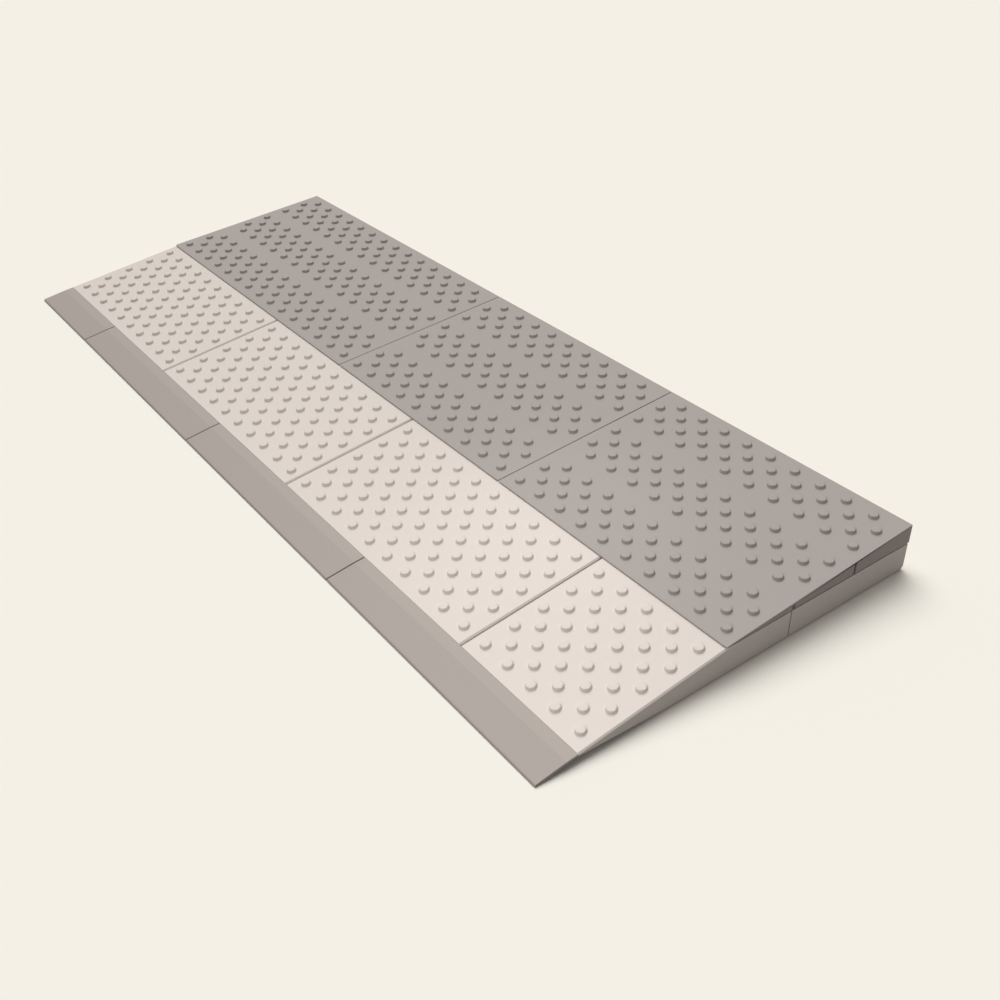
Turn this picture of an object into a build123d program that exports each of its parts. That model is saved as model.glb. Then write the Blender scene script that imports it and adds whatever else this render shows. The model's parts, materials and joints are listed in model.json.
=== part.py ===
from build123d import *
import os
from collections import namedtuple
from math import atan2, cos, radians, sin, tan

# Modular threshold ramp. X runs along the doorway, Y up the ramp from lip to rear, Z up.
# The origin is under the middle of the ramp, on the floor.

# Grid: every piece is a whole number of stud columns long and of stud rows deep
pitch = 24.0                    # stud to stud along a row; rows are half a pitch apart and staggered
half_module = 5                 # columns in the shortest piece
lip_counts = (1, 2, 2, 2)       # half modules in each piece of a row, left to right
front_counts = (2, 2, 2, 1)
base_counts = (2, 2, 2, 1)
top_counts = (3, 2, 2)
strip_rows = 5                  # half pitches in a strip
front_strips = 2                # strips up the slope of a front tile, in front of a ledge one strip deep
top_strips = 3                  # strips up a top tile, parted by plain bands over the grooves

# Side profile
lip_depth = 32.0
lip_tip_height = 1.8
lip_land = 9.0                  # flatter band at the back of the lip
lip_crease_height = 5.4         # height where that band starts
lip_heel_height = 6.4           # height where the lip meets the front tiles
lip_thickness = 2.4             # of the lip's plate, measured upright
front_step = 0.3                # front tiles stand this far above the lip
front_foot_rise = 3.8           # underside of the front tiles rises this far toward the lip
layer_height = 22.0             # top of the lower layer
top_edge_thickness = 1.4        # front edge of the top tiles
top_rear_thickness = 16.0
rear_overhang = 1.0             # top tiles reach this far past the base blocks
end_chamfer = 1.0               # along the slope of a front tile, at both ends
top_chamfer = 0.5               # round the slope of a top tile
top_relief = 1.2                # end walls of the top tiles stop this far above the lower layer
base_chamfer = 2.0              # along the rear foot of the base blocks

# Gaps between neighbours
lip_seam_gap = 1.2              # between lip sections
front_seam_gap = 0.9            # between front tiles
seam_gap = 0.6                  # between base blocks, and between top tiles
lip_gap = 0.1                   # between the lip and the front tiles
row_gap = 1.2                   # between the front tiles and the base blocks

# Studs
stud_diameter = 7.8
stud_height = 2.2
stud_draft = 14.0               # degrees

# Moulded walls
skin = 3.0                      # under the studded faces
wall = 3.0                      # round the edges
rib = 2.0
rib_columns = 2                 # columns between ribs
front_rib_row = 6               # half pitches from the front edge to the long rib under the slope

# Lip flange, which stands on the floor under the front edge of the front tiles
flange_depth = 14.0
flange_clearance = 0.3
flange_inset = 10.0             # flange and web stop this far short of the ramp's two ends
lip_web = 2.5                   # wall at the back of the lip, down to the floor
lip_peg_diameter = 6.0
lip_peg_height = 1.5
lip_peg_clearance = 0.2
lip_peg_inset = 9.0             # behind the front edge of the front tiles
lip_peg_columns = (1, 4)        # places in each half module

# Bow-tie keys, let in flush with the top of the lower layer
key_length = 28.0
key_end_width = 16.0
key_waist = 8.0
key_thickness = 4.0
key_clearance = 0.15

# Spigots and ridges on the base blocks, which hold the top tiles in place
spigot_diameter = 14.0
spigot_height = 4.5
spigot_chamfer = 0.8
spigot_clearance = 0.3
socket_wall = 2.5
groove_widths = (2.6, 2.2)      # front and rear groove under the top tiles
groove_heights = (4.0, 10.2)
ridge_clearance = 0.3
ridge_inset = 30.0              # ridges stop this far from the ends of a base block

# Rubber grip pads
pad_diameter = 14.0
pad_thickness = 2.0
pad_proud = 0.8                 # pads hold the walls this far off the floor
pad_clearance = 0.2
pad_seat_wall = 2.0
pad_inset = 18.0                # from the ends and the back of a piece
front_pad_row = 7               # half pitches from the front edge of a front tile

# Worked out from the sizes above
half_pitch = pitch / 2
strip_depth = strip_rows * half_pitch
total_columns = sum(top_counts) * half_module
slope_depth = front_strips * strip_depth
top_depth = top_strips * strip_depth
tip_y = -(lip_depth + slope_depth + top_depth) / 2
front_y = tip_y + lip_depth
top_y = front_y + slope_depth
seam_y = top_y + strip_depth
rear_y = top_y + top_depth
rear_top = layer_height + top_rear_thickness
seam_front = seam_y - row_gap / 2
seam_rear = seam_y + row_gap / 2
crease_y = front_y - lip_land
heel_y = front_y - lip_gap
lip_rise = (lip_crease_height - lip_tip_height) / (crease_y - tip_y)
arch_y = tip_y + (lip_thickness - lip_tip_height) / lip_rise
front_edge_height = lip_heel_height + front_step
front_rise = (layer_height - front_edge_height) / slope_depth
top_rise = (top_rear_thickness - top_edge_thickness) / top_depth
flange_end = front_y + flange_depth
lip_peg_y = front_y + lip_peg_inset
front_foot_y = front_y + front_rib_row * half_pitch
band_ys = [top_y + strip * strip_depth for strip in range(1, top_strips)]
front_ridge_y = seam_rear + groove_widths[0] / 2 - ridge_clearance
ridge_ys = [y + front_ridge_y - band_ys[0] for y in band_ys]
key_floor = layer_height - key_thickness - key_clearance
socket_diameter = spigot_diameter + 2 * spigot_clearance
pad_recess_diameter = pad_diameter + 2 * pad_clearance

Piece = namedtuple("Piece", "first count start end")


def column_x(column):
    return (column - total_columns / 2) * pitch


def front_foot(y):
    """Height of the rising underside of a front tile."""
    return pad_proud + front_foot_rise * (front_foot_y - y) / (front_foot_y - front_y)


def flange_top(y):
    return front_foot(y) - flange_clearance


def front_surface(y):
    return front_edge_height + (y - front_y) * front_rise


def top_thickness(y):
    return top_edge_thickness + (y - top_y) * top_rise


def is_last(piece):
    return piece.first + piece.count == total_columns


def pieces(counts, gap):
    """First column, number of columns and the two end planes of each piece in a row."""
    row, first = [], 0
    for halves in counts:
        last = first + halves * half_module
        start = column_x(first) + (gap / 2 if first else 0)
        end = column_x(last) - (gap / 2 if last < total_columns else 0)
        row.append(Piece(first, last - first, start, end))
        first = last
    return row


def seams(row):
    return [column_x(piece.first) for piece in row[1:]]


def prism(outline, start, end):
    """Solid between two planes across X, from a closed outline of (y, z) points."""
    face = make_face(Polyline(*outline, close=True))
    return extrude(Plane.YZ.offset(start) * face, end - start)


def block(x_range, y_range, z_range):
    lows, highs = zip(x_range, y_range, z_range)
    sizes = [high - low for low, high in zip(lows, highs)]
    return Pos(*lows) * Box(*sizes, align=(Align.MIN, Align.MIN, Align.MIN))


def post(diameter, bottom, top):
    upright = (Align.CENTER, Align.CENTER, Align.MIN)
    return Pos(0, 0, bottom) * Cylinder(diameter / 2, top - bottom, align=upright)


def bow_tie(clearance):
    half = key_length / 2 + clearance
    wide = key_end_width / 2 + clearance
    waist = key_waist / 2 + clearance
    corners = [(-half, -wide), (0, -waist), (half, -wide), (half, wide), (0, waist), (-half, wide)]
    return Pos(0, 0, key_floor) * make_face(Polyline(*corners, close=True))


def placed(solid, places, turn=0):
    return [Pos(x, y, 0) * Rot(0, 0, turn) * solid for x, y in places]


def within(places, piece):
    return [(x, y) for x, y in places if piece.start < x < piece.end]


# Features that repeat, made once at the origin and at their own height
key = extrude(bow_tie(0), key_thickness)
key_recess = extrude(bow_tie(key_clearance), rear_top - key_floor)
key_seat = block(
    (-key_length / 2 - wall, key_length / 2 + wall),
    (-key_end_width / 2 - wall, key_end_width / 2 + wall),
    (key_floor - skin, layer_height),
)
spigot = post(spigot_diameter, layer_height, layer_height + spigot_height)
spigot = chamfer(spigot.edges().sort_by(Axis.Z)[-1], spigot_chamfer)
socket = post(socket_diameter, 0, layer_height + spigot_height + spigot_clearance)
socket_tube = post(socket_diameter + 2 * socket_wall, 0, rear_top)
lip_peg_top = flange_top(lip_peg_y) + lip_peg_height
lip_peg = post(lip_peg_diameter, flange_top(flange_end) / 2, lip_peg_top)
lip_peg_hole = post(lip_peg_diameter + 2 * lip_peg_clearance, 0, lip_peg_top + flange_clearance)
pad = post(pad_diameter, 0, pad_thickness)
pad_recess = post(pad_recess_diameter, 0, pad_thickness)
pad_seat = post(pad_recess_diameter + 2 * pad_seat_wall, 0, layer_height)

# Rows of pieces
lip_row = pieces(lip_counts, lip_seam_gap)
front_row = pieces(front_counts, front_seam_gap)
base_row = pieces(base_counts, seam_gap)
top_row = pieces(top_counts, seam_gap)

# Where the features stand
half_module_starts = range(0, total_columns, half_module)
half_module_xs = [column_x(start + half_module / 2) for start in half_module_starts]
spigot_ys = [y + strip_depth / 2 for y in band_ys]
spigot_places = [(x, y) for x in half_module_xs for y in spigot_ys]
front_key_places = [(x, (top_y + seam_y) / 2) for x in seams(front_row)]
base_key_places = [(x, y) for x in seams(base_row) for y in spigot_ys]
cross_key_places = [(x, seam_y) for x in half_module_xs]
lip_peg_places = [
    (column_x(start + column), lip_peg_y)
    for start in half_module_starts
    for column in lip_peg_columns
]


def pad_places(piece, ys):
    return [(x, y) for x in (piece.start + pad_inset, piece.end - pad_inset) for y in ys]


def front_pad_places(piece):
    return pad_places(piece, (front_y + front_pad_row * half_pitch, seam_y - pad_inset))


def base_pad_places(piece):
    return pad_places(piece, (seam_y + pad_inset, rear_y - rear_overhang - pad_inset))


def flange_span(piece):
    start = piece.start if piece.first else piece.start + flange_inset
    end = piece.end - flange_inset if is_last(piece) else piece.end
    return start, end


def studs(piece, y, z, rise, rows):
    """Staggered studs, rooted in the skin of a sloped face whose front edge is at (y, z)."""
    angle = atan2(rise, 1)
    slope = Plane((column_x(piece.first), y, z), x_dir=(1, 0, 0), z_dir=(0, -sin(angle), cos(angle)))
    root = skin / 2
    narrowing = tan(radians(stud_draft))
    root_radius = stud_diameter / 2 + root * narrowing
    tip_radius = stud_diameter / 2 - stud_height * narrowing
    upright = (Align.CENTER, Align.CENTER, Align.MIN)
    stud = Pos(0, 0, -root) * Cone(root_radius, tip_radius, root + stud_height, align=upright)
    places = []
    for row in rows:
        staggered = (row + 1) % 2
        up = row * half_pitch / cos(angle)
        for column in range(piece.count - staggered):
            places.append(((column + (1 + staggered) / 2) * pitch, up))
    return [slope * Pos(x, up, 0) * stud for x, up in places]


def cross_ribs(piece):
    """Upright plates across the depth of a piece, one every few columns."""
    ribs = []
    for column in range(piece.first + rib_columns, piece.first + piece.count, rib_columns):
        x = column_x(column)
        ribs.append(block((x - rib / 2, x + rib / 2), (front_y, rear_y), (0, rear_top)))
    return ribs


def long_rib(piece, y, thickness):
    """Upright plate along a piece."""
    return block((piece.start, piece.end), (y - thickness / 2, y + thickness / 2), (0, rear_top))


def lip_section(piece):
    """Sloping plate that bears on the floor along its tip, with a web and a flange at the back."""
    plate = [
        (tip_y, 0),
        (tip_y, lip_tip_height),
        (crease_y, lip_crease_height),
        (heel_y, lip_heel_height),
        (heel_y, lip_heel_height - lip_thickness),
        (crease_y, lip_crease_height - lip_thickness),
        (arch_y, 0),
    ]
    web_top = lip_heel_height - lip_thickness / 2
    web_and_flange = [
        (heel_y - lip_web, 0),
        (heel_y - lip_web, web_top),
        (heel_y, web_top),
        (heel_y, flange_top(heel_y)),
        (flange_end, flange_top(flange_end)),
        (flange_end, 0),
    ]
    body = prism(plate, piece.start, piece.end) + prism(web_and_flange, *flange_span(piece))
    return body + placed(lip_peg, within(lip_peg_places, piece))


def front_tile(piece):
    outline = [
        (front_y, front_foot(front_y)),
        (front_y, front_edge_height),
        (top_y, layer_height),
        (seam_front, layer_height),
        (seam_front, pad_proud),
        (front_foot_y, pad_proud),
    ]
    body = prism(outline, piece.start, piece.end)
    slope = body.faces().sort_by(Axis.Z)[-2]
    body = chamfer(slope.edges().filter_by(Axis.X, reverse=True), end_chamfer)

    pocket_front = flange_end + flange_clearance + wall
    pocket_rear = seam_front - wall
    hollow = [
        (pocket_front, 0),
        (pocket_front, front_surface(pocket_front) - skin),
        (top_y, layer_height - skin),
        (pocket_rear, layer_height - skin),
        (pocket_rear, 0),
    ]
    kept = cross_ribs(piece)
    kept += [long_rib(piece, y, rib) for y in (front_foot_y, top_y)]
    kept += placed(key_seat, front_key_places) + placed(key_seat, cross_key_places, 90)
    kept += placed(pad_seat, front_pad_places(piece))
    body -= prism(hollow, piece.start + wall, piece.end - wall) - kept

    cuts = placed(key_recess, front_key_places) + placed(key_recess, cross_key_places, 90)
    cuts += placed(pad_recess, front_pad_places(piece))
    cuts += placed(lip_peg_hole, within(lip_peg_places, piece))
    rows = range(1, front_strips * strip_rows)
    return body - cuts + studs(piece, front_y, front_edge_height, front_rise, rows)


def base_block(piece):
    rear = rear_y - rear_overhang
    body = block((piece.start, piece.end), (seam_rear, rear), (pad_proud, layer_height))
    body = chamfer(body.faces().sort_by(Axis.Z)[0].edges().sort_by(Axis.Y)[-1], base_chamfer)
    hollow = block(
        (piece.start + wall, piece.end - wall), (seam_rear + wall, rear - wall), (0, layer_height - skin)
    )
    kept = cross_ribs(piece) + [long_rib(piece, ridge_ys[-1], rib)]
    kept += placed(key_seat, base_key_places) + placed(key_seat, cross_key_places, 90)
    kept += placed(pad_seat, base_pad_places(piece))
    body -= hollow - kept

    for y, groove_width, groove_height in zip(ridge_ys, groove_widths, groove_heights):
        half = groove_width / 2 - ridge_clearance
        body += block(
            (piece.start + ridge_inset, piece.end - ridge_inset),
            (y - half, y + half),
            (layer_height, layer_height + groove_height - ridge_clearance),
        )
    body += placed(spigot, within(spigot_places, piece))
    cuts = placed(key_recess, base_key_places) + placed(key_recess, cross_key_places, 90)
    return body - cuts - placed(pad_recess, base_pad_places(piece))


def top_tile(piece):
    outline = [
        (top_y, layer_height),
        (top_y, layer_height + top_edge_thickness),
        (rear_y, rear_top),
        (rear_y, layer_height),
    ]
    body = prism(outline, piece.start, piece.end)
    body = chamfer(body.faces().sort_by(Axis.Z)[-1].edges(), top_chamfer)

    pocket_front = top_y + (skin + rib - top_edge_thickness) / top_rise
    pocket_rear = rear_y - wall
    hollow = [
        (pocket_front, 0),
        (pocket_front, layer_height + rib),
        (pocket_rear, layer_height + top_thickness(pocket_rear) - skin),
        (pocket_rear, 0),
    ]
    kept = cross_ribs(piece)
    kept += [long_rib(piece, y, width + 2 * rib) for y, width in zip(ridge_ys, groove_widths)]
    kept += placed(socket_tube, within(spigot_places, piece))
    body -= prism(hollow, piece.start + wall, piece.end - wall) - kept

    cuts = placed(socket, within(spigot_places, piece))
    for x_range in ((piece.start, piece.start + wall), (piece.end - wall, piece.end)):
        cuts.append(block(x_range, (top_y, rear_y), (0, layer_height + top_relief)))
    for y, groove_width, groove_height in zip(ridge_ys, groove_widths, groove_heights):
        half = groove_width / 2
        groove_top = layer_height + groove_height
        cuts.append(block((piece.start, piece.end), (y - half, y + half), (0, groove_top)))
    rows = [row for row in range(1, top_strips * strip_rows) if row % strip_rows]
    return body - cuts + studs(piece, top_y, layer_height + top_edge_thickness, top_rise, rows)


def write(name, shape):
    shape.label = name
    export_step(shape, os.path.join("parts", name + ".step"))


def write_row(name, make, row):
    for number, piece in enumerate(row, 1):
        write(f"{name}_{number}", make(piece))


def write_group(name, solids):
    write(name, Compound(children=solids))


os.makedirs("parts", exist_ok=True)

write_row("lip_section", lip_section, lip_row)
write_row("front_tile", front_tile, front_row)
write_row("base_block", base_block, base_row)
write_row("top_tile", top_tile, top_row)

write_group("front_row_keys", placed(key, front_key_places))
write_group("base_row_keys", placed(key, base_key_places))
write_group("cross_keys", placed(key, cross_key_places, 90))
write_group("front_grip_pads", placed(pad, sum(map(front_pad_places, front_row), [])))
write_group("base_grip_pads", placed(pad, sum(map(base_pad_places, base_row), [])))
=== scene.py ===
import json
import math

import bmesh
import bpy
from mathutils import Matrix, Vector


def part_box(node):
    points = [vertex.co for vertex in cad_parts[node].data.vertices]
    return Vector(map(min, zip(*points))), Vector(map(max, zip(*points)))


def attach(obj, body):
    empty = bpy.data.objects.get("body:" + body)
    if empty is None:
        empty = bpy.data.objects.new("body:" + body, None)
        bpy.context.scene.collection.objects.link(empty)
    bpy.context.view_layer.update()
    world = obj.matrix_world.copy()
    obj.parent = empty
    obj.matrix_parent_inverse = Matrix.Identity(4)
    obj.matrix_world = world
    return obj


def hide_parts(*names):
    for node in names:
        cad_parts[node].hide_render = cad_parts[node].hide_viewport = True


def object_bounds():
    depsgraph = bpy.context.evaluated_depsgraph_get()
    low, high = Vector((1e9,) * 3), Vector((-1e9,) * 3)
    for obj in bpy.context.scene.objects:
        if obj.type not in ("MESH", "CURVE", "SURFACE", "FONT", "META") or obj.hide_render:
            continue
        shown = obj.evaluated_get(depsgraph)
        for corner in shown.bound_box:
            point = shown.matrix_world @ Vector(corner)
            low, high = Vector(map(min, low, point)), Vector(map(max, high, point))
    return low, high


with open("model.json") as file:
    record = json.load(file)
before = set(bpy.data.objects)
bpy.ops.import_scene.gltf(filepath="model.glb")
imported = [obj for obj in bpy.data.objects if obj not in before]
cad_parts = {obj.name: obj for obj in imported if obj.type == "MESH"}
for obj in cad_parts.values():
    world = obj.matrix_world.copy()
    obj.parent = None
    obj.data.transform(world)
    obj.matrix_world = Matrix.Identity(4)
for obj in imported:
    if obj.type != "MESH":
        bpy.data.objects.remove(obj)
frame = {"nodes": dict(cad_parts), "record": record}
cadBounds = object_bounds()
record = frame["record"]
bodyOf = {node: body for body, nodes in record["behaviour"]["bodies"].items() for node in nodes}
slotOf = {part["node"]: part["material_slot"] for part in record["subparts"]}
print("frame loaded:", len(frame["nodes"]), "CAD nodes")

# sizes are in metres; places come from the frame
grid = {
    "pitch": 0.024,        # stud to stud along a row
    "seam": 0.0006,        # gap between neighbouring modules
    "moduleColumns": 5,    # columns in the shortest module
}
halfPitch = grid["pitch"] / 2
leftX = cadBounds[0].x
rightX = cadBounds[1].x
tipY = cadBounds[0].y
rearY = cadBounds[1].y
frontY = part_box("front_tile_1")[0].y
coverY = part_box("top_tile_1")[0].y
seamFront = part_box("front_tile_1")[1].y    # the two sides of the gap between the rows of the lower layer
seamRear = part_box("base_block_1")[0].y
seamY = (seamFront + seamRear) / 2
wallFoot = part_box("base_block_1")[0].z     # the grip pads hold the walls this far off the floor
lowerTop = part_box("top_tile_1")[0].z
alongX = Vector((1, 0, 0))
alongY = Vector((0, 1, 0))
alongZ = Vector((0, 0, 1))


def rowOf(name):  # the nodes of one row, left to right
    row = [node for node in frame["nodes"] if node.startswith(name)]
    return sorted(row, key=lambda node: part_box(node)[0].x)


def eachModule(columns):  # x of what repeats in every half module, at these columns of it
    width = grid["moduleColumns"] * grid["pitch"]
    count = round((rightX - leftX) / width)
    return [leftX + n * width + column * grid["pitch"] for n in range(count) for column in columns]


def inside(places, node):
    low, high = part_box(node)
    return [x for x in places if low.x < x < high.x]


def gridStart(node):  # x of the stud grid's first line on a module
    return leftX + round((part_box(node)[0].x - leftX) / grid["pitch"]) * grid["pitch"]


def gridColumns(node):
    low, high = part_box(node)
    return round((high.x - low.x) / grid["pitch"])


# mesh tools

meshTool = {
    "still": 0.0000001,    # an edge that goes less than this along an axis is square to it
    "weld": 0.000001,      # corners this close are one
    "cut": 0.0000005,      # a cut this close to a corner goes through it
    "level": 0.00001,      # a face this close to a height lies at it
    "aligned": 0.99999,    # cosine of the angle within which a face looks along a normal
    "cornerAngle": 30,     # degrees, over which an outside edge is a corner to round
    "sharpAngle": 40,      # degrees, over which an edge is shaded sharp
    "centred": 0.01,       # share of a square within which a face is at its middle
    "inset": 0.05,         # share of its radius by which a round face is first set in
}


def edgesOf(faces):
    return list(dict.fromkeys(edge for face in faces for edge in face.edges))


def vertsOf(faces):
    return list(dict.fromkeys(vert for face in faces for vert in face.verts))


def drawOut(corners, run):  # closed outline drawn out into a solid
    bm = bmesh.new()
    face = bm.faces.new([bm.verts.new(corner) for corner in corners])
    grown = bmesh.ops.extrude_face_region(bm, geom=[face])["geom"]
    bmesh.ops.translate(bm, verts=[item for item in grown if isinstance(item, bmesh.types.BMVert)], vec=run)
    bmesh.ops.recalc_face_normals(bm, faces=bm.faces)
    return bm


def outerEnds(node):  # whether each end of a node is an end of the ramp
    low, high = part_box(node)
    return low.x - leftX < grid["seam"] / 2, rightX - high.x < grid["seam"] / 2


def drawProfile(outline, node, trim=0.0):  # (y, z) outline, as long as the node less a trim at its seams
    low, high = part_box(node)
    atLeft, atRight = outerEnds(node)
    start = low.x + trim * (not atLeft)
    end = high.x - trim * (not atRight)
    return drawOut([(start, y, z) for y, z in outline], alongX * (end - start))


def uprights(bm):  # edges along Z
    return [edge for edge in bm.edges if (edge.verts[0].co - edge.verts[1].co).xy.length < meshTool["still"]]


def endEdges(bm, normal):  # edges of the faces that look along a normal, at the two ends of a piece
    edges = edgesOf(picked(bm, facing(normal)))
    return [edge for edge in edges if abs((edge.verts[0].co - edge.verts[1].co).x) < meshTool["still"]]


def bevelEdges(bm, edges, width, segments=2):
    bmesh.ops.bevel(
        bm, geom=edges, offset=width, offset_type="OFFSET", segments=segments, profile=0.5,
        affect="EDGES", clamp_overlap=True, material=-1,
    )


def softenCorners(bm, width, leave=lambda edge: False):  # rounds the outside corners of a drawn-out solid
    bm.normal_update()
    cornerAngle = math.radians(meshTool["cornerAngle"])
    corners = [edge for edge in bm.edges if edge.calc_face_angle_signed(0) > cornerAngle]
    bevelEdges(bm, [edge for edge in corners if not leave(edge)], width)


def between(value, low, high):
    return low < value < high


def facing(normal, height=None):  # picks the flat faces that look one way, at one height if given
    def pick(face):
        level = height is None or abs(face.calc_center_median().z - height) < meshTool["level"]
        return level and face.normal.dot(normal) > meshTool["aligned"]
    return pick


def anyOf(*picks):  # picks what any of these would pick
    return lambda face: any(pick(face) for pick in picks)


def picked(bm, pick):
    bm.normal_update()
    return [face for face in bm.faces if pick(face)]


def cutLines(bm, pick, axis, places):  # splits the picked faces along planes across an axis
    for place in sorted(places):
        faces = picked(bm, pick)
        bmesh.ops.bisect_plane(
            bm, geom=vertsOf(faces) + edgesOf(faces) + faces, dist=meshTool["cut"],
            plane_co=axis * place, plane_no=axis,
        )


def cutSquares(bm, pick, xs, ys, half):  # leaves a square face round every place
    cutLines(bm, pick, alongX, [x + side for x in xs for side in (-half, half)])
    cutLines(bm, pick, alongY, [y + side for y in ys for side in (-half, half)])
    centres = [Vector((x, y)) for x in xs for y in ys]
    squares = []
    for face in picked(bm, pick):
        middle = face.calc_center_bounds().xy
        if any((middle - centre).length < half * meshTool["centred"] for centre in centres):
            squares.append(face)
    return squares


def insetRound(bm, faces, radius, sides):  # puts a round face inside each face; returns the faces round them
    ring = bmesh.ops.inset_individual(bm, faces=faces, thickness=radius * meshTool["inset"])["faces"]
    step = 2 * math.pi / sides
    for face in faces:
        centre = face.calc_center_bounds()
        up = face.normal.cross(alongX)
        for vert in face.verts:
            arm = vert.co - centre
            turn = round(math.atan2(arm.dot(up), arm.dot(alongX)) / step) * step
            vert.co = centre + radius * (alongX * math.cos(turn) + up * math.sin(turn))
    return ring


def roundPatches(bm, squares, radius, sides):  # turns the middle of each square face into a round face
    bmesh.ops.bisect_edges(bm, edges=edgesOf(squares), cuts=sides // 4 - 1)
    bm.normal_update()
    insetRound(bm, squares, radius, sides)


def raiseFaces(bm, faces, height, taper=1.0):  # stands each face up along its own normal
    bm.normal_update()
    caps = bmesh.ops.extrude_discrete_faces(bm, faces=faces)["faces"]
    for cap in caps:
        centre = cap.calc_center_bounds()
        for vert in cap.verts:
            vert.co = centre + (vert.co - centre) * taper + cap.normal * height
    return caps


def growRegion(bm, faces):  # extrudes faces together; returns the new ones and their corners, still in place
    grown = bmesh.ops.extrude_face_region(bm, geom=faces)["geom"]
    bmesh.ops.delete(bm, geom=faces, context="FACES")
    fresh = [item for item in grown if isinstance(item, bmesh.types.BMFace)]
    return fresh, vertsOf(fresh)


def pushRegion(bm, faces, heightAt):  # extrudes faces together to the height given for their y
    fresh, corners = growRegion(bm, faces)
    for vert in corners:
        vert.co.z = heightAt(vert.co.y)
    bm.normal_update()
    return fresh


def makePiece(bm, node, cutter=None):  # turns a mesh into the piece that stands for a CAD node
    bmesh.ops.recalc_face_normals(bm, faces=bm.faces)
    mesh = bpy.data.meshes.new(node + "_moulded")
    bm.to_mesh(mesh)
    bm.free()
    piece = bpy.data.objects.new(node + "_moulded", mesh)
    bpy.context.collection.objects.link(piece)
    if cutter:
        cutRecesses(piece, cutter)
    splitPolygons(piece.data)
    piece.data.shade_smooth()
    piece.data.set_sharp_from_angle(angle=math.radians(meshTool["sharpAngle"]))
    even = piece.modifiers.new("evenShading", "WEIGHTED_NORMAL")
    even.keep_sharp = True
    piece.data.materials.append(finishes[slotOf[node]])
    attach(piece, bodyOf[node])
    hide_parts(node)


def splitPolygons(mesh):  # welds corners a hair apart, and cuts many-sided faces into well-shaped triangles
    bm = bmesh.new()
    bm.from_mesh(mesh)
    bmesh.ops.remove_doubles(bm, verts=bm.verts, dist=meshTool["weld"])
    polygons = [face for face in bm.faces if len(face.verts) > 4]
    bmesh.ops.triangulate(bm, faces=polygons, quad_method="BEAUTY", ngon_method="BEAUTY")
    bm.to_mesh(mesh)
    bm.free()


def cutRecesses(piece, bm):  # takes a cutting mesh out of a piece
    mesh = bpy.data.meshes.new("recessCutter")
    bm.to_mesh(mesh)
    bm.free()
    cutter = bpy.data.objects.new("recessCutter", mesh)
    bpy.context.collection.objects.link(cutter)
    recess = piece.modifiers.new("recess", "BOOLEAN")
    recess.object = cutter
    recess.operation = "DIFFERENCE"
    recess.solver = "EXACT"
    whole = piece.data
    piece.data = bpy.data.meshes.new_from_object(piece.evaluated_get(bpy.context.evaluated_depsgraph_get()))
    piece.modifiers.clear()
    piece.data.name = whole.name
    bpy.data.meshes.remove(whole)
    bpy.data.objects.remove(cutter)
    bpy.data.meshes.remove(mesh)


# finishes

finishTones = {  # base colour, how far the noise darkens it, and the roughness it goes between
    "lip_plastic": {"tone": (0.376, 0.331, 0.299), "mottle": 0.94, "rough": (0.58, 0.70)},
    "pale_plastic": {"tone": (0.701, 0.631, 0.578), "mottle": 0.96, "rough": (0.60, 0.72)},
    "grey_plastic": {"tone": (0.381, 0.344, 0.318), "mottle": 0.94, "rough": (0.58, 0.70)},
    "key_plastic": {"tone": (0.12, 0.115, 0.11), "mottle": 0.88, "rough": (0.50, 0.62)},
    "pad_rubber": {"tone": (0.03, 0.03, 0.03), "mottle": 0.8, "rough": (0.6, 0.8)},
}
mouldGrain = {
    "specular": 0.25,
    "cloudScale": 14,      # slow drift of the colour over a module
    "cloudDetail": 3,
    "grainScale": 1500,    # fine grain of the mould
    "grainDetail": 2,
    "bumpStrength": 0.12,
    "bumpDepth": 0.0001,
}


def mouldedFinish(name, tone, mottle, rough):
    material = bpy.data.materials.new(name)
    material.use_nodes = True
    nodes = material.node_tree.nodes
    link = material.node_tree.links.new
    shader = nodes["Principled BSDF"]
    shader.inputs["Specular IOR Level"].default_value = mouldGrain["specular"]
    place = nodes.new("ShaderNodeTexCoord")

    clouds = nodes.new("ShaderNodeTexNoise")
    clouds.inputs["Scale"].default_value = mouldGrain["cloudScale"]
    clouds.inputs["Detail"].default_value = mouldGrain["cloudDetail"]
    grain = nodes.new("ShaderNodeTexNoise")
    grain.inputs["Scale"].default_value = mouldGrain["grainScale"]
    grain.inputs["Detail"].default_value = mouldGrain["grainDetail"]
    for noise in (clouds, grain):
        link(place.outputs["Object"], noise.inputs["Vector"])

    drift = nodes.new("ShaderNodeMix")
    drift.data_type = "RGBA"
    drift.inputs["A"].default_value = (*[value * mottle for value in tone], 1)
    drift.inputs["B"].default_value = (*tone, 1)
    link(clouds.outputs["Fac"], drift.inputs["Factor"])
    link(drift.outputs["Result"], shader.inputs["Base Color"])

    gloss = nodes.new("ShaderNodeMapRange")
    gloss.inputs["To Min"].default_value = rough[0]
    gloss.inputs["To Max"].default_value = rough[1]
    link(clouds.outputs["Fac"], gloss.inputs["Value"])
    link(gloss.outputs["Result"], shader.inputs["Roughness"])

    bump = nodes.new("ShaderNodeBump")
    bump.inputs["Strength"].default_value = mouldGrain["bumpStrength"]
    bump.inputs["Distance"].default_value = mouldGrain["bumpDepth"]
    link(grain.outputs["Fac"], bump.inputs["Height"])
    link(bump.outputs["Normal"], shader.inputs["Normal"])
    return material


finishes = {slot: mouldedFinish(slot, **look) for slot, look in finishTones.items()}
print("finishes made:", ", ".join(finishes))

# studded slopes

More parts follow.
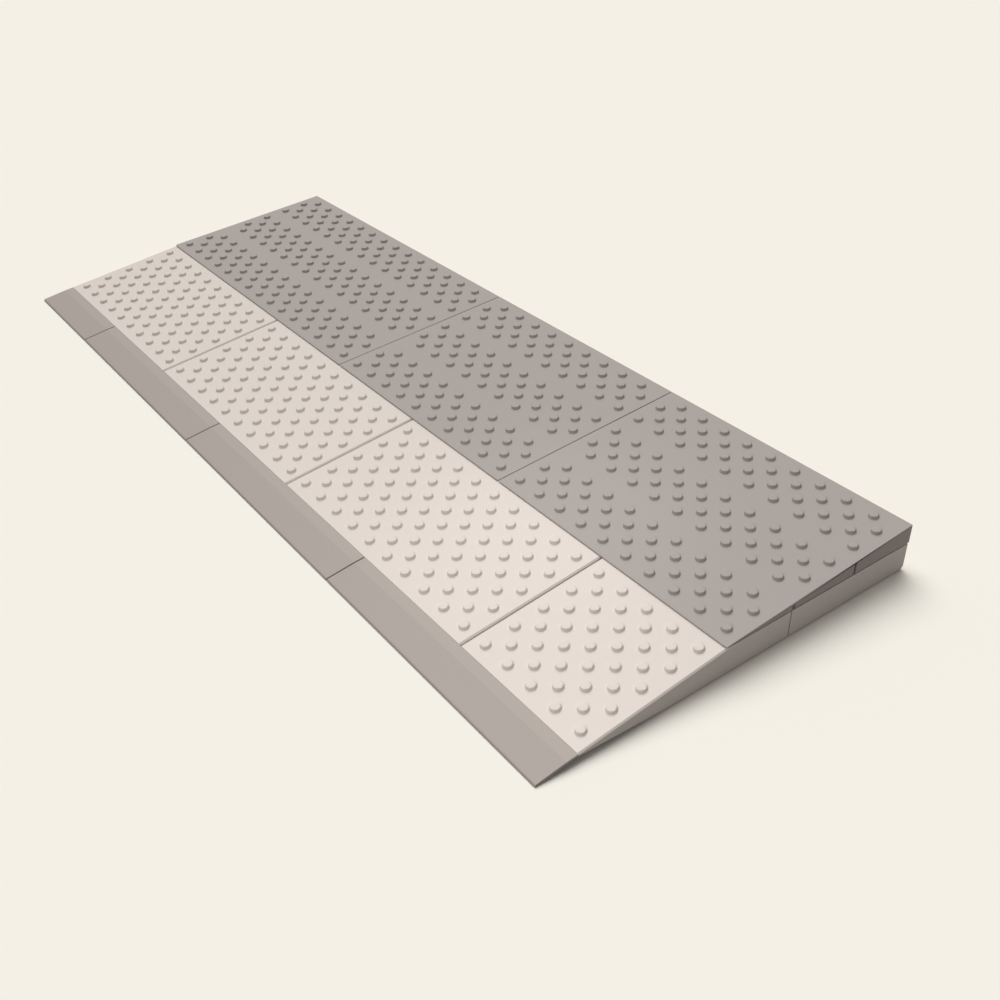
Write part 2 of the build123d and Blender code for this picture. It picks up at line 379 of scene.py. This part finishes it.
stud = {
    "radius": 0.0039,
    "height": 0.0022,
    "draft": 14,           # degrees
    "rim": 0.0004,         # rounding of the top rim
    "root": 0.00035,       # fillet round the foot
    "sides": 16,           # a multiple of 8, so that a square turns into an even ring
    "rimSteps": 1,
}


def addStuds(bm, node, normal, firstY, rows, plainRows=()):  # staggered studs on a sloped face
    startX = gridStart(node)
    columns = 2 * gridColumns(node)
    cutLines(bm, facing(normal), alongX, [startX + (n + 0.5) * halfPitch for n in range(columns)])
    cutLines(bm, facing(normal), alongY, [firstY + (n + 0.5) * halfPitch for n in range(rows + 1)])
    cells = []
    for face in picked(bm, facing(normal)):
        middle = face.calc_center_bounds()
        column = round((middle.x - startX) / halfPitch)
        row = round((middle.y - firstY) / halfPitch)
        onGrid = 0 < column < columns and 0 < row <= rows
        if onGrid and (column + row) % 2 == 0 and row not in plainRows:
            cells.append(face)
    footRadius = stud["radius"] + stud["root"]
    shank = stud["height"] - stud["root"]
    roundPatches(bm, cells, footRadius, stud["sides"])
    necks = raiseFaces(bm, cells, stud["root"], stud["radius"] / footRadius)
    taper = 1 - shank * math.tan(math.radians(stud["draft"])) / stud["radius"]
    caps = raiseFaces(bm, necks, shank, taper)
    bevelEdges(bm, edgesOf(caps), stud["rim"], stud["rimSteps"])
    return len(caps)


# ribbed undersides

shell = {
    "skin": 0.003,         # under the studded faces
    "wall": 0.003,         # round the edges
    "rib": 0.002,
    "ribColumns": 2,       # columns between cross ribs
    "postSquare": 1.08,    # half the square that a post is cut from, against its radius
}


def ribPlaces(node):
    first = gridStart(node)
    step = shell["ribColumns"] * grid["pitch"]
    return [first + n * step for n in range(1, math.ceil(gridColumns(node) / shell["ribColumns"]))]


def hollowOut(bm, node, pick, bands, ceiling, posts=None, seats=()):
    # opens pockets in the picked foot of a piece: bands are the (y, y) strips between its long ribs,
    # posts are round seats left standing, and seats are (x, x, y, y, z) places with a lower ceiling
    low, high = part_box(node)
    kind = bm.faces.layers.int.new("kind")
    postRim = 1
    postBore = 2
    if posts:
        squares = cutSquares(bm, pick, posts["xs"], posts["ys"], posts["outer"] * shell["postSquare"])
        roundPatches(bm, squares, posts["outer"], posts["sides"])
        for face in insetRound(bm, squares, posts["bore"], posts["sides"]):
            face[kind] = postRim
        for face in squares:
            face[kind] = postBore
    ribs = [x + side for x in ribPlaces(node) for side in (-shell["rib"] / 2, shell["rib"] / 2)]
    xs = [low.x + shell["wall"], *ribs, high.x - shell["wall"]]
    ys = [y for band in bands for y in band]
    cutLines(bm, pick, alongX, xs + [x for seat in seats for x in seat[:2]])
    cutLines(bm, pick, alongY, ys + [y for seat in seats for y in seat[2:4]])

    def isHollow(face):
        middle = face.calc_center_bounds()
        inCell = any(between(middle.x, *cell) for cell in zip(xs[::2], xs[1::2]))
        inBand = any(between(middle.y, *band) for band in bands)
        return face[kind] == 0 and inCell and inBand

    def isSeat(face):
        middle = face.calc_center_bounds()
        return any(between(middle.x, *seat[:2]) and between(middle.y, *seat[2:4]) for seat in seats)

    holes = [face for face in picked(bm, pick) if face[kind] == postBore]
    pockets = [face for face in picked(bm, pick) if isHollow(face)]
    if seats:
        seatTop = seats[0][4]
        seatStart = min(band[0] for band in bands if ceiling(band[0]) > seatTop)
        roofs = pushRegion(bm, pockets, lambda y: seatTop if y >= seatStart else ceiling(y))
        deep = [face for face in roofs if face.calc_center_bounds().y > seatStart and not isSeat(face)]
        pushRegion(bm, deep, ceiling)
    else:
        pushRegion(bm, pockets, ceiling)
    if holes:
        pushRegion(bm, holes, lambda y: posts["top"])


# lip: a sloping plate, with a web and a flange at the back that stands under the front tiles

tileFoot = {  # underside of the front tiles, which the flange follows
    "rise": 0.0038,        # up from the long rib to the lip
    "ribRow": 6,           # half pitches from the front edge to that rib
    "flangeGap": 0.0003,
}
lip = {
    "tip": 0.0018,         # height of the front edge
    "land": 0.009,         # flatter band at the back
    "crease": 0.0054,      # height where that band starts
    "heel": 0.0064,        # height at the back
    "thickness": 0.0024,   # of the plate, measured upright
    "gap": 0.0001,         # to the front tiles
    "bevel": 0.0003,
    "tipRound": 0.0012,
    "tipSteps": 4,
    "footFacing": -0.5,    # faces whose normal points further down than this are its foot
    "web": 0.0025,
    "flangeInset": 0.010,  # short of the ramp's two ends
    "pegRadius": 0.003,
    "pegHeight": 0.0015,
    "pegInset": 0.009,     # behind the front edge of the front tiles
    "pegColumns": (1, 4),
    "pegSides": 16,
    "pegSquare": 0.004,    # half the square that each peg is cut from
    "paintedLightGain": 1.075,     # painted highlight: the band at the back is painted this much lighter, on top of the light its flatter slope catches
    "bandEdge": 0.0008,
}
creaseY = frontY - lip["land"]
heelY = frontY - lip["gap"]
lipRise = (lip["crease"] - lip["tip"]) / (creaseY - tipY)
archY = tipY + (lip["thickness"] - lip["tip"]) / lipRise
frontRibY = frontY + tileFoot["ribRow"] * halfPitch
footFall = tileFoot["rise"] / (frontRibY - frontY)
flangeNormal = Vector((0, footFall, 1)).normalized()


def flangeTop(y):
    return wallFoot + (frontRibY - y) * footFall - tileFoot["flangeGap"]


lipPegXs = eachModule(lip["pegColumns"])
lipPegY = frontY + lip["pegInset"]
lipPegTop = flangeTop(lipPegY) + lip["pegHeight"]


def paintLightOnBand(material):  # paints light on the finish behind the crease: a painted highlight on the flatter band, added to what its slope catches
    nodes = material.node_tree.nodes
    link = material.node_tree.links.new
    paint = nodes["Principled BSDF"].inputs["Base Color"]
    place = nodes.new("ShaderNodeTexCoord")
    axes = nodes.new("ShaderNodeSeparateXYZ")
    link(place.outputs["Object"], axes.inputs["Vector"])
    gain = nodes.new("ShaderNodeMapRange")
    gain.inputs["From Min"].default_value = creaseY
    gain.inputs["From Max"].default_value = creaseY + lip["bandEdge"]
    gain.inputs["To Min"].default_value = 1
    gain.inputs["To Max"].default_value = lip["paintedLightGain"]
    link(axes.outputs["Y"], gain.inputs["Value"])
    lighter = nodes.new("ShaderNodeVectorMath")
    lighter.operation = "SCALE"
    link(paint.links[0].from_socket, lighter.inputs["Vector"])
    link(gain.outputs["Result"], lighter.inputs["Scale"])
    link(lighter.outputs["Vector"], paint)


# painted light: the lip's flatter band at the back is painted lighter
paintLightOnBand(finishes["lip_plastic"])


def flangeEnds(node):  # x of a flange's two ends
    low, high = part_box(node)
    atLeft, atRight = outerEnds(node)
    return low.x + lip["flangeInset"] * atLeft, high.x - lip["flangeInset"] * atRight


def isTip(edge):
    return all((vert.co.yz - Vector((tipY, lip["tip"]))).length < meshTool["weld"] for vert in edge.verts)


def staysSharp(edge):  # edges of the lip's foot, and of its heel against the front tiles
    atHeel = all(abs(vert.co.y - heelY) < meshTool["weld"] for vert in edge.verts)
    return atHeel or min(face.normal.z for face in edge.link_faces) < lip["footFacing"]


def makeLip(node):
    seat = flangeTop(heelY)
    bm = drawProfile([
        (tipY, 0), (tipY, lip["tip"]), (creaseY, lip["crease"]), (heelY, lip["heel"]), (heelY, seat),
        (heelY - lip["web"], seat), (creaseY, lip["crease"] - lip["thickness"]), (archY, 0),
    ], node)
    tip = [edge for edge in bm.edges if isTip(edge)]
    bevelEdges(bm, tip, lip["tipRound"], lip["tipSteps"])
    softenCorners(bm, lip["bevel"], staysSharp)
    ends = flangeEnds(node)
    webRoot = facing(-alongZ, seat)
    cutLines(bm, webRoot, alongX, ends)
    web = [face for face in picked(bm, webRoot) if between(face.calc_center_bounds().x, *ends)]
    pushRegion(bm, web, lambda y: 0)
    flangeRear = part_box(node)[1].y
    root = [face for face in picked(bm, facing(alongY)) if face.calc_center_bounds().z < seat]
    for vert in growRegion(bm, root)[1]:
        vert.co.y = flangeRear
        vert.co.z = flangeTop(flangeRear) if vert.co.z > 0 else 0
    pegs = cutSquares(bm, facing(flangeNormal), inside(lipPegXs, node), [lipPegY], lip["pegSquare"])
    roundPatches(bm, pegs, lip["pegRadius"], lip["pegSides"])
    bevelEdges(bm, edgesOf(pushRegion(bm, pegs, lambda y: lipPegTop)), lip["bevel"])
    makePiece(bm, node)


for node in rowOf("lip_section"):
    makeLip(node)
print("lip row made")

# bow-tie keys, let in flush with the top of the lower layer

bowKey = {
    "length": 0.028,
    "endWidth": 0.016,
    "waist": 0.008,
    "thickness": 0.004,
    "clearance": 0.00015,
    "bevel": 0.0004,
    "seatWall": 0.003,     # solid left round a recess
    "seatFloor": 0.003,    # and under it
}
keyFloor = lowerTop - bowKey["thickness"] - bowKey["clearance"]
seatZ = keyFloor - bowKey["seatFloor"]
cutTop = 2 * lowerTop  # recesses are cut from well above the layer
spigot = {
    "radius": 0.007,
    "height": 0.0045,
    "bevel": 0.0008,
    "rows": (7.5, 12.5),   # half pitches behind the front edge of the cover tiles
    "square": 1.2,         # half the square that each is cut from, against its radius
    "sides": 32,
    "clearance": 0.0003,
    "tubeWall": 0.0025,
}
spigotXs = eachModule([grid["moduleColumns"] / 2])
spigotYs = [coverY + row * halfPitch for row in spigot["rows"]]


def seamsOf(row):  # x of the seams between the modules of a row
    return [gridStart(node) for node in rowOf(row)[1:]]


frontKeys = [(x, (coverY + seamY) / 2) for x in seamsOf("front_tile")]
baseKeys = [(x, y) for x in seamsOf("base_block") for y in spigotYs]
crossKeys = [(x, seamY) for x in spigotXs]


def bowTie(place, turned, floor, top, clearance=0.0):
    length = bowKey["length"] / 2 + clearance
    wide = bowKey["endWidth"] / 2 + clearance
    waist = bowKey["waist"] / 2 + clearance
    outline = [(-length, -wide), (0, -waist), (length, -wide), (length, wide), (0, waist), (-length, wide)]
    if turned:
        outline = [(-y, x) for x, y in outline]
    return drawOut([(place[0] + x, place[1] + y, floor) for x, y in outline], alongZ * (top - floor))


def joined(parts):  # one mesh from several
    whole = bmesh.new()
    for part in parts:
        mesh = bpy.data.meshes.new("part")
        part.to_mesh(mesh)
        part.free()
        whole.from_mesh(mesh)
        bpy.data.meshes.remove(mesh)
    return whole


def keyRecesses(node, straight):  # cutting meshes for the keys along a row and across the two rows
    low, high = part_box(node)
    reach = bowKey["length"]
    clearance = bowKey["clearance"]
    ties = [bowTie(place, False, keyFloor, cutTop, clearance)
            for place in straight if low.x - reach < place[0] < high.x + reach]
    ties += [bowTie(place, True, keyFloor, cutTop, clearance)
             for place in crossKeys if low.x < place[0] < high.x]
    return ties


def keySeats(node, straight):  # solid places left under the recesses
    low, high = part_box(node)
    wall = shell["wall"]
    along = bowKey["length"] / 2 + bowKey["seatWall"]
    across = bowKey["endWidth"] / 2 + bowKey["seatWall"]
    boxes = [(x - along, x + along, y - across, y + across) for x, y in straight]
    boxes += [(x - across, x + across, y - along, y + along) for x, y in crossKeys]
    seats = []
    for x0, x1, y0, y1 in boxes:
        x0, x1 = max(x0, low.x + wall), min(x1, high.x - wall)
        y0, y1 = max(y0, low.y + wall), min(y1, high.y - wall)
        if x0 < x1 and y0 < y1:
            seats.append((x0, x1, y0, y1, seatZ))
    return seats


def makeKeys(node, places, turned):
    parts = []
    for place in places:
        key = bowTie(place, turned, lowerTop - bowKey["thickness"], lowerTop)
        softenCorners(key, bowKey["bevel"])
        parts.append(key)
    makePiece(joined(parts), node)


makeKeys("front_row_keys", frontKeys, False)
makeKeys("base_row_keys", baseKeys, False)
makeKeys("cross_keys", crossKeys, True)
print("keys made:", len(frontKeys) + len(baseKeys) + len(crossKeys))

# rubber grip pads

gripPad = {
    "radius": 0.007,
    "thickness": 0.002,
    "clearance": 0.0002,
    "seatWall": 0.002,
    "inset": 0.018,        # from the ends and the back of a piece
    "frontRow": 7,         # half pitches from the front edge of a front tile
    "sides": 32,
    "bevel": 0.0003,
    "ring": (0.45, 0.7),   # inside and outside of the ring moulded in its foot, as shares of the radius
    "groove": 0.0005,      # depth of that ring
}
frontPadYs = [frontY + gripPad["frontRow"] * halfPitch, seamY - gripPad["inset"]]
basePadYs = [seamY + gripPad["inset"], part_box("base_block_1")[1].y - gripPad["inset"]]


def padXs(node):
    low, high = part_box(node)
    return [low.x + gripPad["inset"], high.x - gripPad["inset"]]


def padPosts(node, ys):
    bore = gripPad["radius"] + gripPad["clearance"]
    return {"xs": padXs(node), "ys": ys, "bore": bore, "outer": bore + gripPad["seatWall"],
            "top": gripPad["thickness"], "sides": gripPad["sides"]}


def gripDisc(x, y):
    bm = bmesh.new()
    bmesh.ops.create_circle(bm, cap_ends=True, segments=gripPad["sides"], radius=gripPad["radius"])
    bmesh.ops.translate(bm, verts=bm.verts, vec=(x, y, 0))
    grown = bmesh.ops.extrude_face_region(bm, geom=bm.faces[:])["geom"]
    top = [item for item in grown if isinstance(item, bmesh.types.BMVert)]
    bmesh.ops.translate(bm, verts=top, vec=alongZ * gripPad["thickness"])
    bmesh.ops.recalc_face_normals(bm, faces=bm.faces)
    softenCorners(bm, gripPad["bevel"])
    foot = picked(bm, facing(-alongZ, 0))
    ringInside, ringOutside = [gripPad["radius"] * share for share in gripPad["ring"]]
    insetRound(bm, foot, ringOutside, gripPad["sides"])
    groove = insetRound(bm, foot, ringInside, gripPad["sides"])
    pushRegion(bm, groove, lambda y: gripPad["groove"])
    return bm


def makePads(node, row, ys):
    makePiece(joined([gripDisc(x, y) for module in rowOf(row) for x in padXs(module) for y in ys]), node)


makePads("front_grip_pads", "front_tile", frontPadYs)
makePads("base_grip_pads", "base_block", basePadYs)
print("grip pads made")

# front tiles: a studded slope, then a ledge that the cover tiles lie on

frontTile = {
    "rows": 9,
    "step": 0.0003,        # up from the lip
    "endChamfer": 0.001,   # along the slope, at both ends
    "bevel": 0.0003,
    "frontRound": 0.00025,
    "seamTrim": 0.00025,   # off each end that meets another front tile
    "pegClearance": 0.0002,
}
frontEdge = lip["heel"] + frontTile["step"]
frontRise = (lowerTop - frontEdge) / (coverY - frontY)
frontNormal = Vector((0, -frontRise, 1)).normalized()


def frontSurface(y):
    return min(frontEdge + (y - frontY) * frontRise, lowerTop)


def pegHoles(node):  # cutting meshes for the pegs of the lip
    top = lipPegTop + tileFoot["flangeGap"]
    radius = lip["pegRadius"] + frontTile["pegClearance"]
    turns = [n * 2 * math.pi / lip["pegSides"] for n in range(lip["pegSides"])]
    holes = []
    for x in inside(lipPegXs, node):
        rim = [(x + radius * math.cos(turn), lipPegY + radius * math.sin(turn), 0) for turn in turns]
        holes.append(drawOut(rim, alongZ * top))
    return holes


def makeFrontTile(node):
    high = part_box(node)[1]
    bm = drawProfile([
        (frontY, wallFoot + tileFoot["rise"]), (frontY, frontEdge), (coverY, lowerTop),
        (high.y, lowerTop), (high.y, wallFoot), (frontRibY, wallFoot),
    ], node, frontTile["seamTrim"])
    bevelEdges(bm, endEdges(bm, frontNormal), frontTile["endChamfer"], segments=1)
    bevelEdges(bm, uprights(bm), frontTile["bevel"])
    frontFace = picked(bm, facing(-alongY))
    slopeEdges = edgesOf(picked(bm, facing(frontNormal)))
    bevelEdges(bm, [edge for edge in edgesOf(frontFace) if edge in slopeEdges], frontTile["frontRound"])
    count = addStuds(bm, node, frontNormal, frontY, frontTile["rows"])
    half = shell["rib"] / 2
    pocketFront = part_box("lip_section_1")[1].y + tileFoot["flangeGap"] + shell["wall"]
    bands = [(pocketFront, frontRibY - half), (frontRibY + half, coverY - half),
             (coverY + half, high.y - shell["wall"])]
    foot = anyOf(facing(-flangeNormal), facing(-alongZ, wallFoot))
    hollowOut(bm, node, foot, bands, lambda y: frontSurface(y) - shell["skin"],
              padPosts(node, frontPadYs), keySeats(node, frontKeys))
    makePiece(bm, node, joined([*keyRecesses(node, frontKeys), *pegHoles(node)]))
    return count


frontStuds = sum(makeFrontTile(node) for node in rowOf("front_tile"))
print("front tiles made, studs:", frontStuds)

# cover tiles: studded wedges that lift off, with two grooves along the underside

coverTile = {
    "edge": 0.0014,        # thickness at the front
    "rear": 0.016,         # thickness at the back
    "rows": 14,            # row places up the slope
    "plainRows": (5, 10),  # row places without studs, over the grooves
    "bevel": 0.0005,
    "grooveWidths": (0.0026, 0.0022),
    "grooveHeights": (0.004, 0.0102),
    "relief": 0.0012,      # end walls stop this far above the lower layer
}
ridge = {  # stands on the base blocks, in a groove of the cover tiles
    "clearance": 0.0003,
    "inset": 0.030,        # from each end of a base block
}
coverRise = (coverTile["rear"] - coverTile["edge"]) / (rearY - coverY)
coverNormal = Vector((0, -coverRise, 1)).normalized()
ridgeShift = seamRear + coverTile["grooveWidths"][0] / 2 - ridge["clearance"] - seamY
ridgeYs = [coverY + row * halfPitch + ridgeShift for row in coverTile["plainRows"]]
grooveHalves = [width / 2 for width in coverTile["grooveWidths"]]
grooveTops = [lowerTop + height for height in coverTile["grooveHeights"]]


def coverSurface(y):
    return lowerTop + coverTile["edge"] + (y - coverY) * coverRise


def endReliefs(node):  # cutting mesh that shortens the two end walls
    low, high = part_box(node)
    room = coverTile["relief"]
    outline = [(low.y - room, lowerTop - room), (low.y - room, lowerTop + room),
               (high.y + room, lowerTop + room), (high.y + room, lowerTop - room)]
    run = alongX * (shell["wall"] + room)
    starts = (low.x - room, high.x - shell["wall"])
    return joined([drawOut([(x, y, z) for y, z in outline], run) for x in starts])


def makeCoverTile(node):
    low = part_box(node)[0]
    outline = [(low.y, lowerTop), (low.y, coverSurface(low.y)),
               (rearY, coverSurface(rearY)), (rearY, lowerTop)]
    for y, half, roof in reversed(list(zip(ridgeYs, grooveHalves, grooveTops))):
        outline += [(y + half, lowerTop), (y + half, roof), (y - half, roof), (y - half, lowerTop)]
    bm = drawProfile(outline, node)
    softenCorners(bm, coverTile["bevel"])
    count = addStuds(bm, node, coverNormal, coverY, coverTile["rows"], coverTile["plainRows"])
    pocketFront = coverY + (shell["skin"] + shell["rib"] - coverTile["edge"]) / coverRise
    sides = [pocketFront]
    for y, half in zip(ridgeYs, grooveHalves):
        sides += [y - half - shell["rib"], y + half + shell["rib"]]
    sides.append(rearY - shell["wall"])
    bands = list(zip(sides[::2], sides[1::2]))
    bore = spigot["radius"] + spigot["clearance"]
    sockets = {"xs": inside(spigotXs, node), "ys": spigotYs, "bore": bore, "outer": bore + spigot["tubeWall"],
               "top": lowerTop + spigot["height"] + spigot["clearance"], "sides": spigot["sides"]}
    hollowOut(bm, node, facing(-alongZ, lowerTop), bands, lambda y: coverSurface(y) - shell["skin"], sockets)
    makePiece(bm, node, endReliefs(node))
    return count


coverStuds = sum(makeCoverTile(node) for node in rowOf("top_tile"))
print("cover tiles made, studs:", coverStuds)

# base blocks: ribbed boxes with spigots and ridges that hold the cover tiles

baseBlock = {
    "bevel": 0.0003,
    "rearFoot": 0.002,     # chamfer along the rear foot
}


def makeBaseBlock(node):
    low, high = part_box(node)
    foot = baseBlock["rearFoot"]
    bm = drawProfile([
        (low.y, wallFoot), (low.y, lowerTop), (high.y, lowerTop),
        (high.y, wallFoot + foot), (high.y - foot, wallFoot),
    ], node)
    bevelEdges(bm, uprights(bm), baseBlock["bevel"])
    top = facing(alongZ, lowerTop)
    spigots = cutSquares(bm, top, inside(spigotXs, node), spigotYs, spigot["radius"] * spigot["square"])
    roundPatches(bm, spigots, spigot["radius"], spigot["sides"])
    bevelEdges(bm, edgesOf(raiseFaces(bm, spigots, spigot["height"])), spigot["bevel"])

    ends = (low.x + ridge["inset"], high.x - ridge["inset"])
    for y, grooveHalf, roof in zip(ridgeYs, grooveHalves, grooveTops):
        half = grooveHalf - ridge["clearance"]
        cutLines(bm, top, alongY, [y - half, y + half])
        cutLines(bm, top, alongX, ends)
        root = []
        for face in picked(bm, top):
            middle = face.calc_center_bounds()
            if between(middle.x, *ends) and between(middle.y, y - half, y + half):
                root.append(face)
        crest = roof - ridge["clearance"]
        pushRegion(bm, root, lambda _: crest)

    ribY = ridgeYs[-1]
    halfRib = shell["rib"] / 2
    bands = [(low.y + shell["wall"], ribY - halfRib), (ribY + halfRib, high.y - shell["wall"])]
    hollowOut(bm, node, facing(-alongZ, wallFoot), bands, lambda y: lowerTop - shell["skin"],
              padPosts(node, basePadYs), keySeats(node, baseKeys))
    makePiece(bm, node, joined(keyRecesses(node, baseKeys)))


for node in rowOf("base_block"):
    makeBaseBlock(node)
print("base blocks made")

# floor, light and camera

stageLook = {
    "backdrop": (0.905, 0.871, 0.791),  # open floor as the camera sees it
    "floorPaint": 1.1,                  # makes up for a light that is a little under full on the open floor
    "floorRough": 0.9,
    "floorReach": 20,
    "floorDrop": 0.0001,                # under the object's foot
    "bounce": (0.42, 0.408, 0.384),     # floor's colour in the light that it throws back on the object
    "sunDirection": (-0.48, 0.23, 0.848),
    "sunStrength": 2.48,
    "sunAngle": 52,                     # degrees
    "ambient": 0.24,
    "lampPlace": (0.5, -0.62, 0.45),    # soft lamp before the near end, for the object alone
    "lampAim": (0.2, 0, 0),
    "lampSize": 0.4,
    "lampPower": 1.56,
    "glowPlace": (0.25, -0.01, 0.5),    # faint spot lamp straight above the near tiles, for the object alone
    "glowSpread": 34,                   # degrees, fading to nothing at the rim
    "glowRadius": 0.05,
    "glowPower": 0.85,
}


def seenByCamera(nodes, link):  # 1 for what the camera, a reflection or glass shows
    path = nodes.new("ShaderNodeLightPath")
    either = nodes.new("ShaderNodeMath")
    either.operation = "MAXIMUM"
    link(path.outputs["Is Camera Ray"], either.inputs[0])
    link(path.outputs["Is Glossy Ray"], either.inputs[1])
    seen = nodes.new("ShaderNodeMath")
    seen.operation = "MAXIMUM"
    link(either.outputs[0], seen.inputs[0])
    link(path.outputs["Is Transmission Ray"], seen.inputs[1])
    return seen.outputs[0]


def makeFloor():
    bm = bmesh.new()
    bmesh.ops.create_grid(bm, x_segments=1, y_segments=1, size=stageLook["floorReach"])
    bmesh.ops.translate(bm, verts=bm.verts, vec=(0, 0, -stageLook["floorDrop"]))
    mesh = bpy.data.meshes.new("floor")
    bm.to_mesh(mesh)
    bm.free()
    floor = bpy.data.objects.new("floor", mesh)
    bpy.context.collection.objects.link(floor)
    material = bpy.data.materials.new("floorPaint")
    material.use_nodes = True
    nodes = material.node_tree.nodes
    link = material.node_tree.links.new
    shader = nodes["Principled BSDF"]
    shader.inputs["Roughness"].default_value = stageLook["floorRough"]
    shader.inputs["Specular IOR Level"].default_value = 0.0
    paint = nodes.new("ShaderNodeMix")
    paint.data_type = "RGBA"
    paint.inputs["A"].default_value = (*stageLook["bounce"], 1)
    seenTone = [value * stageLook["floorPaint"] for value in stageLook["backdrop"]]
    paint.inputs["B"].default_value = (*seenTone, 1)
    link(seenByCamera(nodes, link), paint.inputs["Factor"])
    link(paint.outputs["Result"], shader.inputs["Base Color"])
    floor.data.materials.append(material)
    return floor


def makeWorld():
    world = bpy.data.worlds.new("room")
    bpy.context.scene.world = world
    world.use_nodes = True
    nodes = world.node_tree.nodes
    link = world.node_tree.links.new
    background = nodes["Background"]
    seen = seenByCamera(nodes, link)
    colour = nodes.new("ShaderNodeMix")
    colour.data_type = "RGBA"
    colour.inputs["A"].default_value = (*[stageLook["ambient"]] * 3, 1)
    colour.inputs["B"].default_value = (*stageLook["backdrop"], 1)
    link(seen, colour.inputs["Factor"])
    link(colour.outputs["Result"], background.inputs["Color"])


def addLight(light):  # puts a light in the scene
    holder = bpy.data.objects.new(light.name, light)
    bpy.context.collection.objects.link(holder)
    return holder


def makeSun():
    light = bpy.data.lights.new("sun", "SUN")
    light.energy = stageLook["sunStrength"]
    light.angle = math.radians(stageLook["sunAngle"])
    sun = addLight(light)
    sun.rotation_euler = Vector(stageLook["sunDirection"]).to_track_quat("Z", "Y").to_euler()


def makeLamp():
    light = bpy.data.lights.new("lamp", "AREA")
    light.shape = "DISK"
    light.size = stageLook["lampSize"]
    light.energy = stageLook["lampPower"]
    lamp = addLight(light)
    lamp.location = stageLook["lampPlace"]
    beam = Vector(stageLook["lampAim"]) - Vector(stageLook["lampPlace"])
    lamp.rotation_euler = beam.to_track_quat("-Z", "Y").to_euler()
    return lamp


def makeGlow():
    light = bpy.data.lights.new("glow", "SPOT")
    light.spot_size = math.radians(stageLook["glowSpread"])
    light.spot_blend = 1
    light.shadow_soft_size = stageLook["glowRadius"]
    light.energy = stageLook["glowPower"]
    glow = addLight(light)
    glow.location = stageLook["glowPlace"]
    return glow


def keepOffFloor(lamps, floor):  # leaves the floor out of what these lamps light
    unlit = bpy.data.collections.new("unlitByLamps")
    unlit.objects.link(floor)
    unlit.collection_objects[0].light_linking.link_state = "EXCLUDE"
    for lamp in lamps:
        lamp.light_linking.receiver_collection = unlit


camera = {
    "eye": (0.7771, -0.4445, 0.5115),
    "look": (-0.6675, 0.4830, -0.5667),
    "roll": -1.26,         # degrees
    "lens": 41.73,         # millimetres, as is the sensor
    "sensor": 36,
}


def makeCamera():
    lens = bpy.data.cameras.new("camera")
    lens.lens = camera["lens"]
    lens.sensor_width = camera["sensor"]
    eye = bpy.data.objects.new("camera", lens)
    bpy.context.collection.objects.link(eye)
    eye.location = camera["eye"]
    eye.rotation_euler = Vector(camera["look"]).to_track_quat("-Z", "Y").to_euler()
    eye.rotation_euler.rotate_axis("Z", math.radians(camera["roll"]))
    bpy.context.scene.camera = eye


floor = makeFloor()
makeWorld()
makeSun()
keepOffFloor([makeLamp(), makeGlow()], floor)
makeCamera()
bpy.context.scene.view_settings.view_transform = "Standard"
print("floor, light and camera set")
